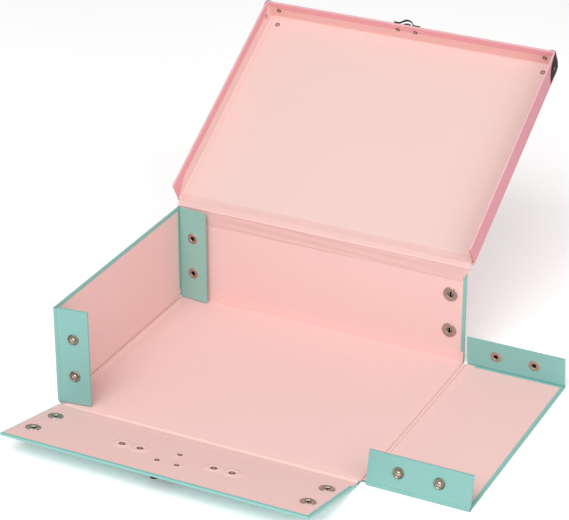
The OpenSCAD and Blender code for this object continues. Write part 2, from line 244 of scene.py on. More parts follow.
def metal(name, c, rough=0.28, var=0.25, scratch=0.5):
    """Plated pressed metal: patchy tone, fine rubbed scratches."""
    n = N(name)
    patch = n.noise(420, 4, 0.6)
    fine = n.noise(3200, 2, 0.6)
    scr = n.noise(900, 3, 0.7, n.mapping((1, 9, 2), (0.3, 0.5, 0.8)))
    col = n.ramp(patch, [(0.3, dim(c, 1 - var)), (0.7, dim(c, 1 + var * 0.4))])
    col = n.mix(n.range(scr, 0.60, 0.72, 0.0, 0.35), col, dim(c, 1 + var * 1.6))
    ro = n.range(n.math("MULTIPLY", patch, scr), 0.12, 0.42, rough - 0.16 * scratch, rough + 0.32 * scratch)
    b = n.bump(scr, 0.12 * scratch, 0.00005)
    b = n.bump(fine, 0.06 * scratch, 0.00004, b)
    n.set(metal=1.0)
    return n.finish(col, ro, b)


def painted(name, c):
    """Dark bronze finish: near-black brown with a soft gleam and fine rubbing."""
    n = N(name)
    patch = n.noise(300, 4, 0.6)
    scr = n.noise(900, 3, 0.7, n.mapping((1, 9, 2), (0.3, 0.5, 0.8)))
    col = n.ramp(patch, [(0.3, dim(c, 0.7)), (0.7, dim(c, 1.3))])
    col = n.mix(n.range(scr, 0.60, 0.75, 0.0, 0.5), col, dim(c, 3.0))
    b = n.bump(scr, 0.12, 0.00004)
    b = n.bump(patch, 0.08, 0.0001, b)
    n.set(spec=0.035, metal=0.0)
    return n.finish(col, n.range(patch, 0.3, 0.7, 0.34, 0.48), b)


# near-black, rough paint for the insides of the snap holes: painted shade
def dark(name):
    n = N(name)
    p = n.noise(900, 3)
    n.set(spec=0.1)
    return n.finish(n.ramp(p, [(0.3, (0.010, 0.008, 0.007, 1)), (0.7, (0.022, 0.018, 0.015, 1))]), n.range(p, 0.3, 0.7, 0.75, 0.95))


def leather(name):
    n = N(name)
    v = n.t.nodes.new("ShaderNodeTexVoronoi")
    v.inputs["Scale"].default_value = 900
    v.feature = "DISTANCE_TO_EDGE"
    n.link(n.co, v.inputs["Vector"])
    cell = n.range(v.outputs["Distance"], 0.0, 0.35, 0.0, 1.0)
    big = n.noise(120, 4)
    col = n.ramp(big, [(0.3, (0.030, 0.018, 0.013, 1)), (0.7, (0.060, 0.036, 0.026, 1))])
    col = n.mix(n.range(cell, 0.0, 0.25, 0.5, 0.0), col, (0.015, 0.009, 0.007, 1))
    b = n.bump(cell, 0.35, 0.00012)
    b = n.bump(big, 0.15, 0.0004, b)
    n.set(spec=0.45)
    return n.finish(col, n.range(cell, 0, 1, 0.62, 0.45), b)


TURQ = paper("turquoise_cover", srgb(128, 180, 173), 0.03, 0.55, spec=0.4)
# darker copies of the turquoise paper for the two front flaps, painted shade, and a lighter, warmer copy for the left
# rear flap, painted light
TURQ_LEFT_FLAP_SHADE = paper("turquoise_left_front_flap_painted_shade", srgb(125, 175, 168), 0.03, 0.55, spec=0.4)
TURQ_RIGHT_FLAP_SHADE = paper("turquoise_right_front_flap_painted_shade", srgb(121, 169, 163), 0.03, 0.55, spec=0.4)
TURQ_REAR_FLAP_LIT = paper("turquoise_left_rear_flap_painted_light", srgb(138, 184, 174), 0.03, 0.55, spec=0.4)
TURQ_EDGE = paper("turquoise_edge", srgb(122, 160, 153), 0.04, 0.5, spec=0.4)
TURQ_FOLD = paper("turquoise_fold", srgb(115, 169, 161), 0.05, 0.6)
PINK = paper("lining_pink", srgb(224, 187, 183), 0.016, 0.72, spec=0.25)
PINK_HINGE = paper("hinge_pink", srgb(226, 188, 183), 0.022, 0.68, spec=0.3)
# darker pink for the faces in the hinge creases: painted shade
PINK_CREASE_SHADE = paper("crease_pink_painted_shade", srgb(214, 168, 162), 0.022, 0.68, spec=0.3)
# copies of the lining pink for the lid: darker on the panel and on the front side, painted shade, lighter on the two
# sides, painted light
PINK_LID_SHADE = paper("lid_lining_pink_painted_shade", srgb(215, 184, 179), 0.016, 0.72, spec=0.25)
PINK_LID_FRONT_SHADE = paper("lid_front_lining_painted_shade", srgb(230, 181, 175))
PINK_TRAY_SIDE_LIT = paper("pink_tray_side_painted_light", srgb(228, 195, 189), 0.016, 0.72, spec=0.25)
# darker pink for the lid's hinge strip: painted shade
PINK_LID_HINGE_SHADE = paper("lid_hinge_pink_painted_shade", srgb(213, 176, 171), 0.022, 0.68, spec=0.3)
# lighter pink for the crest of the lid's hinge fold: painted highlight
PINK_CREST_HIGHLIGHT = paper("fold_crest_painted_highlight", srgb(232, 200, 194), 0.022, 0.68, spec=0.3)
COVER = paper("lid_cover_pink", srgb(220, 150, 155), 0.03, 0.5, spec=0.4)
# darker copy of the lid cover for the lid's right side: painted shade
COVER_RIGHT_SHADE = paper("lid_cover_right_side_painted_shade", srgb(203, 133, 143), 0.03, 0.5, spec=0.4)
COVER_EDGE = paper("lid_cover_edge", srgb(207, 164, 169), 0.04, 0.48, spec=0.45)
NICKEL = metal("nickel_snap", (0.47, 0.42, 0.36, 1), 0.27, 0.22)
NICKEL_BRIGHT = metal("nickel_bright", (0.80, 0.77, 0.70, 1), 0.16, 0.12)
# light pinkish paint for the hollow middle of the rivet tails: painted reflection
RIVET_CORE_REFLECTION = paper("rivet_middle_painted_reflection", srgb(190, 148, 140), 0.10, 0.5, 0.5)
# darker copy of the snap nickel for the stud flanges: painted shade standing in for dark reflections
STUD_NICKEL_SHADE = metal("stud_nickel_painted_shade", (0.27, 0.235, 0.18, 1), 0.26, 0.3)
NICKEL_DARK = metal("nickel_shadow", (0.12, 0.105, 0.085, 1), 0.42, 0.3)
CAP_NICKEL = metal("nickel_cap", (0.35, 0.315, 0.27, 1), 0.2, 0.03, 0.1)
EYELET = metal("eyelet_nickel", (0.52, 0.43, 0.36, 1), 0.33, 0.18)
BRONZE = painted("dark_bronze", (0.013, 0.009, 0.006, 1))
RIVET = metal("rivet_bronze", (0.16, 0.115, 0.085, 1), 0.36, 0.35)
SNAP_HOLE_SHADE = dark("snap_inside_painted_shade")
LEATHER = leather("grip_leather")
THREAD = paper("grip_thread", srgb(84, 62, 50), 0.1, 0.7, 0.6)

# ---------------------------------------------------------------- CAD nodes: materials, softened edges
SLOTS = {s["node"]: s["material_slot"] for s in frame["record"]["subparts"]}
BYSLOT = {"case_cover": (TURQ, TURQ_EDGE), "lid_cover": (COVER, COVER_EDGE), "lining_paper": (PINK, PINK), "hinge_paper": (PINK_HINGE, PINK_HINGE),
          "snap_nickel": (NICKEL, NICKEL), "dark_bronze": (BRONZE, BRONZE), "rivet_metal": (RIVET, RIVET), "grip_leather": (LEATHER, LEATHER)}


def soften(o, width, seg=3, angle=35, edge=0):
    w = o.modifiers.new("weld", "WELD")
    w.merge_threshold = 0.000002
    d = o.modifiers.new("flatten", "DECIMATE")      # one face per flat, so the softened edges run clean round the holes
    d.decimate_type = "DISSOLVE"
    d.angle_limit = math.radians(0.6)
    b = o.modifiers.new("bevel", "BEVEL")
    b.width = width * MM
    b.segments = seg
    b.limit_method = "ANGLE"
    b.angle_limit = math.radians(angle)
    b.harden_normals = False
    b.miter_outer = "MITER_ARC"
    if edge:
        b.material = 1
    n = o.modifiers.new("flat", "WEIGHTED_NORMAL")
    n.mode = "FACE_AREA"
    n.weight = 100
    n.keep_sharp = True


for name, o in frame["nodes"].items():
    o.data.materials.clear()
    a, b = BYSLOT[SLOTS[name]]
    # the flaps take the painted-shade and painted-light copies of the turquoise paper
    a = {"left_front_flap": TURQ_LEFT_FLAP_SHADE, "right_front_flap": TURQ_RIGHT_FLAP_SHADE, "left_rear_flap": TURQ_REAR_FLAP_LIT}.get(name, a)
    o.data.materials.append(a)
    o.data.materials.append(b)
for name in ("bottom_board", "left_wall_board", "right_wall_board", "front_wall_board", "back_wall_board"):
    soften(frame["nodes"][name], 0.4, edge=1)
for name in ("left_front_flap", "left_rear_flap", "right_front_flap", "right_rear_flap"):
    soften(frame["nodes"][name], 0.35, edge=1)
for name in ("bottom_lining", "left_wall_lining", "right_wall_lining", "front_wall_lining", "back_wall_lining"):
    soften(frame["nodes"][name], 0.08, 2)
for name in ("handle_brackets", "latch_plate"):
    soften(frame["nodes"][name], 0.3, 2)


# ---------------------------------------------------------------- mesh helpers
class Part:
    """Collects closed shells in millimetres, with a material number each, and makes one object of them."""

    def __init__(self):
        self.v, self.f, self.k = [], [], []

    def add(self, shell, M=WORLD, k=0):
        v, f = shell
        i = len(self.v)
        self.v += [tuple(M @ Vector(p)) for p in v]
        self.f += [tuple(i + j for j in q) for q in f]
        self.k += [k] * len(f)
        return self

    def make(self, name, mats, body=None, slot=None, replaces=(), auto=42):
        me = bpy.data.meshes.new(name)
        me.from_pydata([(p[0] * MM, p[1] * MM, p[2] * MM) for p in self.v], [], self.f)
        for q, k in zip(me.polygons, self.k):
            q.material_index = k
        bm = bmesh.new()
        bm.from_mesh(me)
        bmesh.ops.remove_doubles(bm, verts=bm.verts, dist=2e-8)
        bmesh.ops.recalc_face_normals(bm, faces=bm.faces)
        for f in bm.faces:
            f.smooth = True
        for e in bm.edges:
            if len(e.link_faces) == 2 and e.calc_face_angle(0) > math.radians(auto):
                e.smooth = False
        bm.to_mesh(me)
        bm.free()
        for m in (mats if isinstance(mats, (list, tuple)) else [mats]):
            me.materials.append(m)
        o = bpy.data.objects.new(name, me)
        bpy.context.scene.collection.objects.link(o)
        if body:
            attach(o, body)
        if replaces:
            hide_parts(*replaces)
        return o


def lathe(prof, seg=40):
    """Closed turned shell from (radius, height) pairs that start and end on the axis."""
    v, rings, f = [], [], []
    for r, z in prof:
        if r < 1e-6:
            rings.append([len(v)])
            v.append((0, 0, z))
        else:
            rings.append(list(range(len(v), len(v) + seg)))
            v += [(r * math.cos(2 * math.pi * i / seg), r * math.sin(2 * math.pi * i / seg), z) for i in range(seg)]
    for a, b in zip(rings, rings[1:]):
        for i in range(seg):
            j = (i + 1) % seg
            if len(a) == 1:
                f.append((a[0], b[i], b[j]))
            elif len(b) == 1:
                f.append((a[i], a[j], b[0]))
            else:
                f.append((a[i], a[j], b[j], b[i]))
    return v, f


def ring_lathe(prof, seg=40):
    """Closed turned ring from a loop of (radius, height) pairs that never meets the axis."""
    n = len(prof)
    v = [(r * math.cos(2 * math.pi * i / seg), r * math.sin(2 * math.pi * i / seg), z) for i in range(seg) for r, z in prof]
    f = []
    for i in range(seg):
        j = (i + 1) % seg
        for a in range(n):
            b = (a + 1) % n
            f.append((i * n + a, j * n + a, j * n + b, i * n + b))
    return v, f


def tube(path, r, seg=12, closed=False):
    """Round wire along a path of points."""
    P = [Vector(p) for p in path]
    n = len(P)
    v, f = [], []
    up = Vector((0.13, 0.27, 0.95))
    for i in range(n):
        a = P[(i - 1) % n] if closed or i > 0 else P[i]
        b = P[(i + 1) % n] if closed or i < n - 1 else P[i]
        d = (b - a).normalized()
        x = d.cross(up)
        if x.length < 0.2:
            x = d.cross(Vector((1, 0, 0)))
        x.normalize()
        y = x.cross(d)
        up = y
        v += [tuple(P[i] + (x * math.cos(2 * math.pi * k / seg) + y * math.sin(2 * math.pi * k / seg)) * r) for k in range(seg)]
    m = n if closed else n - 1
    for i in range(m):
        j = (i + 1) % n
        for k in range(seg):
            l = (k + 1) % seg
            f.append((i * seg + k, i * seg + l, j * seg + l, j * seg + k))
    if not closed:
        f.append(tuple(range(seg))[::-1])
        f.append(tuple((n - 1) * seg + k for k in range(seg)))
    return v, f


def rbox(a, b, r, seg=3, cuts=()):
    """Box from corner a to corner b with rounded edges; cuts are (axis, value) planes that add loops."""
    bm = bmesh.new()
    bmesh.ops.create_cube(bm, size=1)
    for q in bm.verts:
        q.co = Vector([(a[i] + b[i]) / 2 + q.co[i] * (b[i] - a[i]) for i in range(3)])
    for ax, val in cuts:
        no = [0, 0, 0]
        no[ax] = 1
        co = [0, 0, 0]
        co[ax] = val
        bmesh.ops.bisect_plane(bm, geom=list(bm.verts) + list(bm.edges) + list(bm.faces), plane_co=co, plane_no=no)
    sharp = [e for e in bm.edges if len(e.link_faces) == 2 and e.calc_face_angle(0) > 0.5]
    bmesh.ops.bevel(bm, geom=sharp, offset=r, segments=seg, profile=0.5, affect="EDGES")
    bm.verts.ensure_lookup_table()
    v = [tuple(q.co) for q in bm.verts]
    f = [tuple(q.index for q in g.verts) for g in bm.faces]
    bm.free()
    return v, f


def shell(grid, thick):
    """Closed thin sheet over a grid of points; thick is added along the grid's own normal."""
    J, I = len(grid), len(grid[0])
    G = [[Vector(p) for p in row] for row in grid]
    v = []
    for lay in (0, 1):
        for j in range(J):
            for i in range(I):
                du = G[j][min(i + 1, I - 1)] - G[j][max(i - 1, 0)]
                dv = G[min(j + 1, J - 1)][i] - G[max(j - 1, 0)][i]
                n = dv.cross(du)
                n = n.normalized() if n.length > 1e-9 else Vector((0, 0, 1))
                v.append(tuple(G[j][i] + n * thick * lay))
    def q(l, j, i):
        return (l * J + j) * I + i
    f = []
    for j in range(J - 1):
        for i in range(I - 1):
            f.append((q(0, j, i), q(0, j, i + 1), q(0, j + 1, i + 1), q(0, j + 1, i)))
            f.append((q(1, j, i), q(1, j + 1, i), q(1, j + 1, i + 1), q(1, j, i + 1)))
        for i in (0, I - 1):
            f.append((q(0, j, i), q(0, j + 1, i), q(1, j + 1, i), q(1, j, i)))
    for i in range(I - 1):
        for j in (0, J - 1):
            f.append((q(0, j, i), q(1, j, i), q(1, j, i + 1), q(0, j, i + 1)))
    return v, f


def curve2(points, n=6):
    """Catmull-Rom through 2-D points, held close to the straight parts."""
    p = [points[0]] + list(points) + [points[-1]]
    out = []
    for i in range(1, len(p) - 2):
        p0, p1, p2, p3 = (Vector((*q, 0)) for q in p[i - 1:i + 3])
        k1 = min(1.0, (p2 - p1).length / max((p1 - p0).length, 1e-6)) if i > 1 else 1.0
        k2 = min(1.0, (p2 - p1).length / max((p3 - p2).length, 1e-6)) if i < len(p) - 3 else 1.0
        m1, m2 = (p2 - p0) * 0.5 * k1, (p3 - p1) * 0.5 * k2
        for k in range(n):
            t = k / n
            out.append((2 * t ** 3 - 3 * t ** 2 + 1) * p1 + (t ** 3 - 2 * t ** 2 + t) * m1 + (-2 * t ** 3 + 3 * t ** 2) * p2 + (t ** 3 - t ** 2) * m2)
    out.append(Vector((*p[-2], 0)))
    return [(v.x, v.y) for v in out]


def strip(name, line, thick, x0, x1, M, mat, nx=24, ends=None, slot=None, smooth=6, body=None, crease=None):
    """A paper strip: a line of (y, z) run along x. line may be a function of t (0 to 1 along x); ends(t) gives the x
    range along the line;
    crease(y, z) is true where the paper is creased, which takes the second material, a darker pink as painted shade in
    the crease."""
    grid = []
    for j in range(nx + 1):
        t = j / nx
        L = line(t) if callable(line) else line
        L = curve2(L, smooth) if smooth else L
        n = len(L)
        row = []
        for i, (y, z) in enumerate(L):
            e0, e1 = (x0, x1) if ends is None else ends(i / (n - 1))
            row.append((e0 + (e1 - e0) * t, y, z))
        grid.append(row)
    sh = shell(grid, thick)
    P = Part().add(sh, M)
    if crease:
        for i, q in enumerate(sh[1]):
            y, z = (sum(sh[0][j][a] for j in q) / len(q) for a in (1, 2))
            P.k[i] = 1 if crease(y, z) else 0
    return P.make(name, mat, body=body, slot=slot)


def pt(M, p):
    return tuple((M @ Vector(p)) * MM)


def lerp(a, b, t):
    return a + (b - a) * t


# ---------------------------------------------------------------- hinge papers between the bottom and the walls
def hinge(side, E, half, inner, outer, nodes, ends=None, cut=0.0, crease=None):
    a = strip(side + "_hinge_inner_paper", inner, 0.12, -half, half, E, [PINK_HINGE, PINK_CREASE_SHADE], nx=60, slot="hinge_paper", ends=ends, crease=crease)
    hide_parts(*nodes)
    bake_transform(a)
    b = strip(side + "_hinge_outer_paper", outer, 0.26, -half + cut, half - cut, E, TURQ_FOLD, slot="case_cover", smooth=0)
    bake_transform(b)


def up_outer(px):
    r = FR_
    arc = [(px + r * math.sin(t), r - r * math.cos(t)) for t in [k * math.pi / 2 / 6 for k in range(7)]]
    return [(-0.4, 0.02), (px * 0.5, 0.02)] + arc + [(px + r, 1.2), (px + r, ROOT + FR_ + 0.3)]


def left_line(t):
    # a low bead of slack paper, wider towards the front, pressed down at its two ends under the flaps
    w = lerp(3.1, 1.5, t)
    h = lerp(0.75, 0.55, t)
    e = min(max((min(t, 1 - t) * 2 * (SIDE - 0.2) - 2.5) / 4.5, 0), 1)
    line = [(-9.0, 2.02), (-w - 2.0, 2.06), (-w - 0.8, 2.55), (-w - 0.35, 2.5), (-w, 1.98), (-w + 0.3, 2.45), (-w + 0.8, 2.7), (-1.4, 2.72 + h * 0.25), (-0.8, 2.6 + h * 0.25),
            (-0.35, 2.2), (0.0, 1.45), (0.3, 1.9), (0.4, 2.9), (0.42, 4.0), (0.4, 5.6), (0.4, 7.5), (0.4, 10.6)]
    return [(y, 2.0 + (z - 2.0) * lerp(0.45, 1, e)) if y < 0 and 2.0 < z < 3.2 else (y, z) for y, z in line]


def left_ends(q):
    # a relief notch in the fold at the rear corner, clear of the rear flap
    k = min(max((q - 0.4) / 0.1, 0), 1) * min(max((0.9 - q) / 0.06, 0), 1)
    return (-(SIDE - 0.2), SIDE - lerp(0.2, 1.9, k))


hinge("left", E_LEFT, SIDE - 0.2, left_line, up_outer(PX), ["left_hinge_fold", "left_hinge_strip"],
      ends=left_ends, crease=lambda y, z: -3.4 < y < -1.2 and z < 2.22)
back_line = [(-8.5, 2.0), (-1.2, 2.0), (-0.5, 2.0), (-0.05, 1.93), (0.2, 1.72), (0.45, 1.8), (0.6, 2.2), (0.6, 3.2), (0.6, 7.0), (0.6, 10.6)]
hinge("back", E_BACK, HW - 0.4, back_line, up_outer(PY), ["back_hinge_fold", "back_hinge_strip"])

right_inner = [(-9.0, 2.0), (-0.5, 2.0), (-0.1, 1.92), (0.15, 1.5), (0.4, 1.22), (0.75, 1.36), (1.3, 1.62), (2.1, 1.72), (2.9, 1.62), (3.45, 1.36), (3.8, 1.22), (4.05, 1.5),
               (4.3, 1.92), (4.7, 2.0), (12.0, 2.0)]
right_outer = [(-0.4, 0.02), (1.0, 0.02), (2.1, 0.02), (3.2, 0.02), (PX + ROOT + 0.3, 0.02)]
hinge("right", E_RIGHT, SIDE - 0.2, right_inner, right_outer, ["right_hinge_fold", "right_hinge_strip"],
      cut=0.6, crease=lambda y, z: 0.15 < y < 0.6 or 3.5 < y < 4.2)

cf, sf = math.cos(math.radians(TILT)), math.sin(math.radians(TILT))


def fw(sv, n):
    return (PY + sv * cf - n * sf, FR_ + sv * sf + n * cf)


def front_inner(t):
    # the crest is pressed lower where the left flap swings out over it
    k = lerp(1.0, 0.42, min(max((t - 0.845) / 0.03, 0), 1))
    crest = [(-0.1, 2.15), (0.4, 2.85), (1.0, 3.22), (1.6, 3.18), (2.3, 2.75), (2.9, 2.5)]
    return [(-8.5, 2.0), (-1.3, 2.0), (-0.75, 1.97), (-0.45, 1.86)] + [(y, 2.0 + (z - 2.0) * k) for y, z in crest] + [fw(1.5, F2 - 0.05), fw(2.0, F2), fw(4.0, F2), fw(10.6, F2)]


front_outer = [(-0.4, 0.02), (PY * 0.6, 0.02), (PY, 0.02), fw(1.0, O + 0.02), fw(ROOT + 0.3, O + 0.02)]


def front_ends(t):
    # the end by the left wall is trimmed back over the panel's corner
    k = min(max((t - 0.5) / 0.3, 0), 1)
    return (-(HW - 0.3), HW - lerp(5.5, 0.3, k))


hinge("front", E_FRONT, HW - 0.3, front_inner, front_outer, ["front_hinge_fold", "front_hinge_strip"],
      ends=front_ends)

# ---------------------------------------------------------------- paper folds between side walls and flaps
FLAPS = {"left_front": ("left", AT_LEFT, -1, LEAN["lf"]), "left_rear": ("left", AT_LEFT, 1, LEAN["lr"]),
         "right_front": ("right", AT_RIGHT, 1, LEAN["rf"]), "right_rear": ("right", AT_RIGHT, -1, LEAN["rr"])}


def fold_plane(end, lean):
    """Points of the flap in the wall's x, n plane."""
    a = math.radians(lean)

    def g(x, z):
        return (FPIV - x * math.sin(a) - z * math.cos(a), x * math.cos(a) - z * math.sin(a))
    return g


for key, (side, S, end, lean) in FLAPS.items():
    g = fold_plane(end, lean)
    steps = [k / 6 for k in range(7)]
    a0, a1 = -math.pi / 2, math.radians(lean) * -1
    # outer: round the corner from the wall's outer face to the flap's outer face
    outer = [(SIDE - 0.9, O - 0.02), (SIDE + 0.4, O - 0.03), (FPIV - 0.3, O - 0.04)]
    outer += [(FPIV + FR_ * 1.2 * math.cos(lerp(a0, a1, k)), FR_ * 1.2 * math.sin(lerp(a0, a1, k))) for k in steps[1:]]
    outer += [g(1.0, O - 0.16), g(1.8, O - 0.26), g(2.25, O - 0.06), g(2.5, O + 0.16), g(2.75, O - 0.04), g(3.2, O - 0.16), g(3.9, O - 0.06), g(4.6, O - 0.02)]
    inner = [(SIDE - 2.6, F2 - 0.02), (SIDE - 0.4, F2 - 0.04), (SIDE + 0.15, F2 - 0.3), g(1.9, F2 - 0.65), g(2.4, F2 - 0.35), g(2.9, F2 - 0.02), g(4.6, F2 + 0.02)]
    po = Part()
    for line, th, lo, hi in ((outer, 0.24, FS1 + 0.05, FS2 - 0.05), (inner, 0.12, FS1 + 0.5, FS2 - 0.5)):
        L = curve2(line, 3)
        grid = []
        for j in range(19):
            s_ = lerp(lo, hi, j / 18)
            grid.append([(end * x, s_, n) for x, n in L])
        po.add(shell(grid, -th * end), S)
    # the fold papers take the same painted-shade and painted-light copies as their flaps
    o = po.make(key + "_fold_paper", {"left_front": TURQ_LEFT_FLAP_SHADE, "right_front": TURQ_RIGHT_FLAP_SHADE, "left_rear": TURQ_REAR_FLAP_LIT}.get(key, TURQ), slot="case_cover")
    if end < 0:
        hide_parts(side + "_flap_folds")
    pt(S, (end * (FPIV - 0.5), 40, 0.1))
    pt(S, (end * g(1.6, 0.4)[0], 40, g(1.6, 0.4)[1]))
    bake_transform(o)

# ---------------------------------------------------------------- lid hinge
c2, s2 = math.cos(math.radians(90 - LIDLEAN)), math.sin(math.radians(90 - LIDLEAN))


def lw(u, n):        # lid coordinates to (y, z) in the case's frame
    return (PIVY + u * c2 - n * s2, LIDZ + u * s2 + n * c2)


inner_y = PIVY + FR_ - T
zt = FR_ + TOP


def lid_line(e):
    # e = 1 over the side walls and rear flaps, where the closed lid rests: the paper lies flush there
    return [(inner_y - 0.22, zt - 11.9), (inner_y - 0.14, zt - 11.0), (inner_y, zt - 8.0), (inner_y, zt - 3.0), (inner_y, zt - 0.5), (inner_y - 0.04, zt + 0.4), (inner_y - 0.12, zt + 0.95),
            (inner_y - 0.02, zt + 1.4), (inner_y + 0.30, zt + 2.0), (inner_y + 0.75, zt + 2.8), (inner_y + 1.35, zt + 3.75), (inner_y + 2.1 + 0.15 * e, zt + 4.8 - 0.26 * e),
            lw(3.2, F2 + 0.42 - 0.52 * e), lw(5.0, F2 + 0.18 - 0.32 * e), lw(7.0, F2 + 0.04 - 0.18 * e), lw(8.6, F2 - 0.14 * e)]


HEND = LH - T - 0.15


def lid_half(z):
    k = min(max((z - (zt - 11.9)) / 10.5, 0), 1)
    return lerp(HW - 4.4, HEND, k)


grid = []
for j in range(81):
    t = j / 80
    e = min(max((abs(2 * t - 1) * HEND - (HW - 39)) / 4.0, 0), 1)
    line = curve2(lid_line(e), 6)
    grid.append([(lerp(-lid_half(z), lid_half(z), t), y + (0.10 * math.sin(9 * t + z) * (1 - e) if 0 < i < len(line) - 1 else 0), z) for i, (y, z) in enumerate(line)])
lid_in = Part().add(shell(grid, 0.26))
for i, q in enumerate(lid_in.f):        # the crest of the fold takes a lighter pink: painted highlight
    if zt + 0.95 < sum(lid_in.v[j][2] for j in q) / len(q) < zt + 1.65:
        lid_in.k[i] = 1
lid_in = lid_in.make("lid_hinge_inner_paper", [PINK_LID_HINGE_SHADE, PINK_CREST_HIGHLIGHT], slot="hinge_paper", replaces=("lid_hinge_fold", "lid_hinge_strip_wall", "lid_hinge_strip"))
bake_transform(lid_in)
lid_outer_line = [(PIVY + FR_, zt - 0.5), (PIVY + FR_, zt + 0.6), (PIVY + FR_ + 0.08, zt + 1.4), lw(0.5, O), lw(LIDROOT + 0.4, O)]
grid = [[(lerp(-HW + 0.2, HW - 0.2, j / 24), y, z) for y, z in curve2(lid_outer_line, 4)] for j in range(25)]
lid_out = Part().add(shell(grid, 0.25)).make("lid_hinge_outer_paper", COVER, slot="lid_cover")
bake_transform(lid_out)


# ---------------------------------------------------------------- lid boards and linings
def round_tip(v, R=5.4):
    """Rounds the two outer corners of the lid, under the metal corners."""
    out = []
    for x, y, z in v:
        k = 1 if x > 0 else -1
        c_ = (LH - R, OUTU - R, -(O + R))
        p = (x * k, y, -z)
        if all(p[i] > c_[i] for i in range(3)):
            d = Vector([p[i] - c_[i] for i in range(3)])
            if d.length > R:
                d *= R / d.length
            p = tuple(c_[i] + d[i] for i in range(3))
        out.append((p[0] * k, p[1], -p[2]))
    return out


def lid_board(name, a, b, node, body="lid", r=0.45, k=None):
    cuts = [(0, k_ * x) for k_ in (-1, 1) for x in (LH - 1.0, LH - 2.2, LH - 3.8, LH - 5.5) if a[0] < k_ * x < b[0]]
    cuts += [(1, y) for y in (OUTU - 1.0, OUTU - 2.2, OUTU - 3.8, OUTU - 5.5) if a[1] < y < b[1] - 0.6]
    cuts += [(2, z) for z in (1.2, 2.4, 3.8, 5.4) if b[2] > 10]
    v, f = rbox(a, b, r, 3, cuts)
    v = round_tip(v)
    P = Part()
    P.add((v, f), AT_LID)
    if k is not None:       # free edge: the faces of the rounded rim nearest the opening take the lighter paper
        inv = AT_LID.inverted()
        for i, q in enumerate(P.f):
            z = sum((inv @ Vector(P.v[j])).z for j in q) / len(q)
            if z > k:
                P.k[i] = 1
    # the right side board takes the darker copy of the cover, painted shade
    return P.make(name, [COVER_RIGHT_SHADE if "right" in name else COVER, COVER_EDGE], body=body, slot="lid_cover", replaces=(node,))


lid_board("lid_panel_cover", (-LH, LIDROOT, O), (LH, OUTU, F1), "lid_panel")
lid_board("lid_front_side_cover", (-LH, OUTU - BT, F1 - 0.7), (LH, OUTU, LEDGE), "lid_front_side", k=LEDGE - 0.4)
lid_board("lid_left_side_cover", (-LH, LIDROOT + 0.8, F1 - 0.7), (-LH + BT, OUTU - 0.3, LEDGE), "lid_left_side", k=LEDGE - 0.4)
lid_board("lid_right_side_cover", (LH - BT, LIDROOT + 0.8, F1 - 0.7), (LH, OUTU - 0.3, LEDGE), "lid_right_side", k=LEDGE - 0.4)

# lining: one sheet over the panel and up the two sides, cut on the slant at the hinge, and a second up the front side;
# they take three copies of the one pink, painted shade on the panel and the front side and painted light on the sides
R1 = 1.1
HX = LH - BT - 0.03
grid = []
for j in range(61):
    u = lerp(LIDROOT + 0.3, LINU + 0.1, (j / 60))
    h = F2 + LLIN
    if u < 19:
        h = max(F2 + 1.3, lerp(F2 + 0.9, h, max(u - 1.8, 0) / 17.2))
    if u > LINU - 8:
        h = lerp(h, LEDGE - 2.2, ((u - (LINU - 8)) / 8.1) ** 1.5)
    row = []
    wall = [(HX - 0.02, lerp(h, F1 + R1 + 0.35, k / 4)) for k in range(5)]
    arc = [(HX - R1 + R1 * math.cos(math.pi / 2 * k / 6), F1 + R1 + 0.02 - R1 * math.sin(math.pi / 2 * k / 6)) for k in range(1, 7)]
    flat = [(lerp(HX - R1, -(HX - R1), k / 20), F1 + 0.02) for k in range(1, 20)]
    pts = [(-x, z) for x, z in wall + arc] + [(-x, z) for x, z in flat] + [(x, z) for x, z in (wall + arc)[::-1]]
    grid.append([(x, u, z) for x, z in pts])
sheet1 = [shell([row[a:b] for row in grid], -0.2) for a, b in ((0, 11), (10, 31), (30, 41))]
grid = []
for j in range(61):
    x = lerp(-HX, HX, j / 60)
    h = F2 + LLIN
    d = HX - abs(x)
    if d < 8:
        h = lerp(LEDGE - 2.2, h, (d / 8) ** 0.7)
    yy = OUTU - BT - 0.02
    wall = [(yy, lerp(h, F1 + R1 + 0.35, k / 4)) for k in range(5)]
    arc = [(yy - R1 + R1 * math.cos(math.pi / 2 * k / 6), F1 + R1 + 0.04 - R1 * math.sin(math.pi / 2 * k / 6)) for k in range(1, 7)]
    grid.append([(x, y, z) for y, z in wall + arc + [(yy - R1 - 2.0, F1 + 0.05)]])
sheet2 = shell(grid, 0.2)
P = Part()
for sh, km in zip(sheet1, (2, 0, 2)):
    P.add(sh, AT_LID, km)
P.add(sheet2, AT_LID, 1)
P.make("lid_tray_lining", [PINK_LID_SHADE, PINK_LID_FRONT_SHADE, PINK_TRAY_SIDE_LIT], body="lid", slot="lining_paper", replaces=("lid_panel_lining", "lid_side_linings"))


